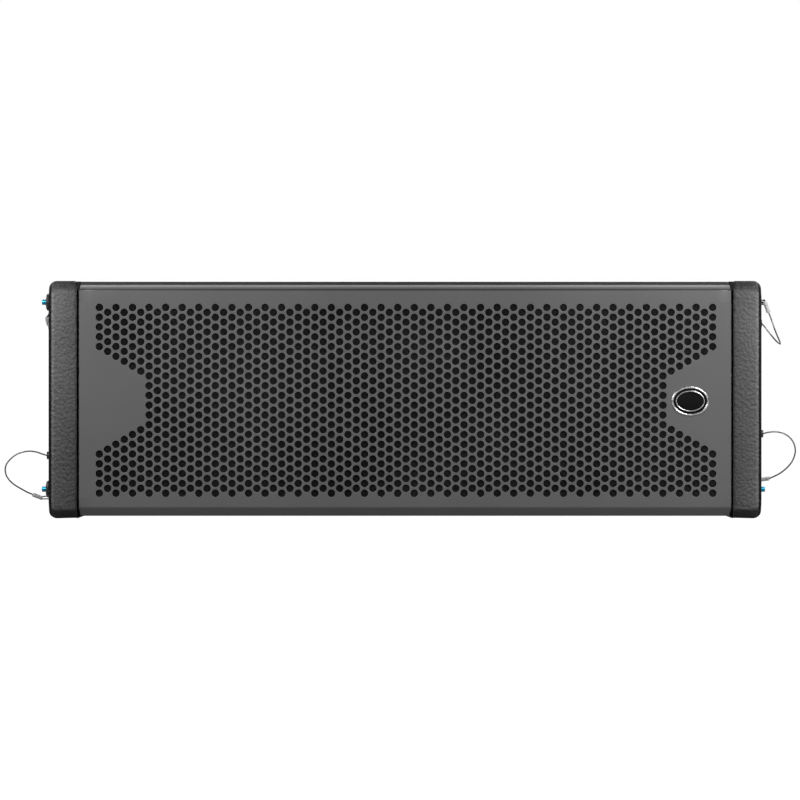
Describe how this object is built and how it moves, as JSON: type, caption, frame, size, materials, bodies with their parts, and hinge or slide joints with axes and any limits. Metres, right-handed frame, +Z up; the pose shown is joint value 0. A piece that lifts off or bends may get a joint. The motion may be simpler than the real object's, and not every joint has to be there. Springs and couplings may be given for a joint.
{
  "type": "line array loudspeaker module",
  "caption": "Wedge-shaped line array loudspeaker with perforated grille, rigging side caps, sliding link bars and ball-lock pins on wire lanyards.",
  "frame": {"origin": "centre of the base, on the surface that the skids rest on", "axes": "+X across the width to the listener's right as seen from the front, -Y out of the grille, +Z up"},
  "size_m": [0.8376, 0.42, 0.25],
  "materials": {
    "cabinet_paint": "textured black paint on birch plywood",
    "birch_ply": "sealed birch plywood",
    "textured_cap": "leather-textured black coating on plywood",
    "black_steel": "black oxide",
    "rigging_steel": "black powder coat",
    "link_steel": "zinc-plated, satin",
    "pin_black": "satin black",
    "blue_anodised": "blue anodised, satin",
    "wire_rope": "twisted steel strands",
    "ferrule_metal": "crimped, bright",
    "grille_coat": "satin dark grey powder coat",
    "foam": "open-cell black foam",
    "chrome": "polished",
    "badge_gloss": "gloss black",
    "cast_frame": "satin black casting",
    "paper_cone": "treated paper",
    "surround_rubber": "matt",
    "magnet_iron": "dull",
    "horn_plastic": "moulded",
    "circuit_board": "lacquered board",
    "plate_steel": "black powder coat",
    "socket_plastic": "moulded",
    "handle_plastic": "moulded, fine grain"
  },
  "bodies": {
    "cabinet": {"top_panel": "cabinet_paint", "bottom_panel": "cabinet_paint", "side_wall_left": "cabinet_paint", "side_wall_right": "cabinet_paint", "back_panel": "cabinet_paint", "front_baffle": "birch_ply", "side_cap_left": "textured_cap", "side_cap_right": "textured_cap", "cap_screws": "black_steel", "front_channel_left": "rigging_steel", "front_channel_right": "rigging_steel", "rear_channel_left": "rigging_steel", "rear_channel_right": "rigging_steel", "link_stops": "link_steel", "lanyard_top_left": "wire_rope", "lanyard_top_right": "wire_rope", "lanyard_bottom_left": "wire_rope", "lanyard_bottom_right": "wire_rope", "lanyard_anchors": "ferrule_metal", "grille": "grille_coat", "grille_foam": "foam", "badge_rim": "chrome", "badge_plate": "badge_gloss", "woofer_frame_left": "cast_frame", "woofer_frame_right": "cast_frame", "woofer_suspension_left": "surround_rubber", "woofer_suspension_right": "surround_rubber", "woofer_magnet_left": "magnet_iron", "woofer_magnet_right": "magnet_iron", "woofer_screws": "black_steel", "horn": "horn_plastic", "compression_driver": "cast_frame", "crossover_board": "circuit_board", "input_plate": "plate_steel", "input_sockets": "socket_plastic", "back_screws": "black_steel", "rear_handle_left": "handle_plastic", "rear_handle_right": "handle_plastic"},
    "front_link_left": {"front_link_left": "link_steel"},
    "rear_link_left": {"rear_link_left": "link_steel"},
    "woofer_cone_left": {"woofer_cone_left": "paper_cone"},
    "front_link_right": {"front_link_right": "link_steel"},
    "rear_link_right": {"rear_link_right": "link_steel"},
    "woofer_cone_right": {"woofer_cone_right": "paper_cone"},
    "pin_front_top_left": {"pin_front_top_left": "pin_black", "ferrule_top_left": "ferrule_metal"},
    "button_front_top_left": {"button_front_top_left": "blue_anodised"},
    "pin_front_top_right": {"pin_front_top_right": "pin_black", "ferrule_top_right": "ferrule_metal"},
    "button_front_top_right": {"button_front_top_right": "blue_anodised"},
    "pin_front_bottom_left": {"pin_front_bottom_left": "pin_black", "ferrule_bottom_left": "ferrule_metal"},
    "button_front_bottom_left": {"button_front_bottom_left": "blue_anodised"},
    "pin_front_bottom_right": {"pin_front_bottom_right": "pin_black", "ferrule_bottom_right": "ferrule_metal"},
    "button_front_bottom_right": {"button_front_bottom_right": "blue_anodised"},
    "pin_rear_left": {"pin_rear_left": "pin_black"},
    "button_rear_left": {"button_rear_left": "blue_anodised"},
    "pin_rear_right": {"pin_rear_right": "pin_black"},
    "button_rear_right": {"button_rear_right": "blue_anodised"}
  },
  "joints": [
    {"name": "front_link_left_slide", "type": "slide", "parent": "cabinet", "child": "front_link_left", "axis": [0, 0, 1], "range_m": [0, 0.052]},
    {"name": "rear_link_left_slide", "type": "slide", "parent": "cabinet", "child": "rear_link_left", "axis": [0, 0, 1], "range_m": [0, 0.102]},
    {"name": "woofer_cone_left_stroke", "type": "slide", "parent": "cabinet", "child": "woofer_cone_left", "axis": [0, 1, 0], "range_m": [-0.005, 0.005], "stiffness_N_per_m": 2000, "deforming": ["woofer_suspension_left"]},
    {"name": "front_link_right_slide", "type": "slide", "parent": "cabinet", "child": "front_link_right", "axis": [0, 0, 1], "range_m": [0, 0.052]},
    {"name": "rear_link_right_slide", "type": "slide", "parent": "cabinet", "child": "rear_link_right", "axis": [0, 0, 1], "range_m": [0, 0.102]},
    {"name": "woofer_cone_right_stroke", "type": "slide", "parent": "cabinet", "child": "woofer_cone_right", "axis": [0, 1, 0], "range_m": [-0.005, 0.005], "stiffness_N_per_m": 2000, "deforming": ["woofer_suspension_right"]},
    {"name": "pin_front_top_left_pull", "type": "slide", "parent": "cabinet", "child": "pin_front_top_left", "axis": [-1, 0, 0], "range_m": [0, 0.045], "deforming": ["lanyard_top_left"]},
    {"name": "button_front_top_left_press", "type": "slide", "parent": "pin_front_top_left", "child": "button_front_top_left", "axis": [1, 0, 0], "range_m": [0, 0.002], "stiffness_N_per_m": 1500},
    {"name": "pin_front_top_right_pull", "type": "slide", "parent": "cabinet", "child": "pin_front_top_right", "axis": [1, 0, 0], "range_m": [0, 0.045], "deforming": ["lanyard_top_right"]},
    {"name": "button_front_top_right_press", "type": "slide", "parent": "pin_front_top_right", "child": "button_front_top_right", "axis": [-1, 0, 0], "range_m": [0, 0.002], "stiffness_N_per_m": 1500},
    {"name": "pin_front_bottom_left_pull", "type": "slide", "parent": "cabinet", "child": "pin_front_bottom_left", "axis": [-1, 0, 0], "range_m": [0, 0.045], "deforming": ["lanyard_bottom_left"]},
    {"name": "button_front_bottom_left_press", "type": "slide", "parent": "pin_front_bottom_left", "child": "button_front_bottom_left", "axis": [1, 0, 0], "range_m": [0, 0.002], "stiffness_N_per_m": 1500},
    {"name": "pin_front_bottom_right_pull", "type": "slide", "parent": "cabinet", "child": "pin_front_bottom_right", "axis": [1, 0, 0], "range_m": [0, 0.045], "deforming": ["lanyard_bottom_right"]},
    {"name": "button_front_bottom_right_press", "type": "slide", "parent": "pin_front_bottom_right", "child": "button_front_bottom_right", "axis": [-1, 0, 0], "range_m": [0, 0.002], "stiffness_N_per_m": 1500},
    {"name": "pin_rear_left_pull", "type": "slide", "parent": "cabinet", "child": "pin_rear_left", "axis": [-1, 0, 0], "range_m": [0, 0.045]},
    {"name": "button_rear_left_press", "type": "slide", "parent": "pin_rear_left", "child": "button_rear_left", "axis": [1, 0, 0], "range_m": [0, 0.002], "stiffness_N_per_m": 1500},
    {"name": "pin_rear_right_pull", "type": "slide", "parent": "cabinet", "child": "pin_rear_right", "axis": [1, 0, 0], "range_m": [0, 0.045]},
    {"name": "button_rear_right_press", "type": "slide", "parent": "pin_rear_right", "child": "button_rear_right", "axis": [-1, 0, 0], "range_m": [0, 0.002], "stiffness_N_per_m": 1500}
  ]
}
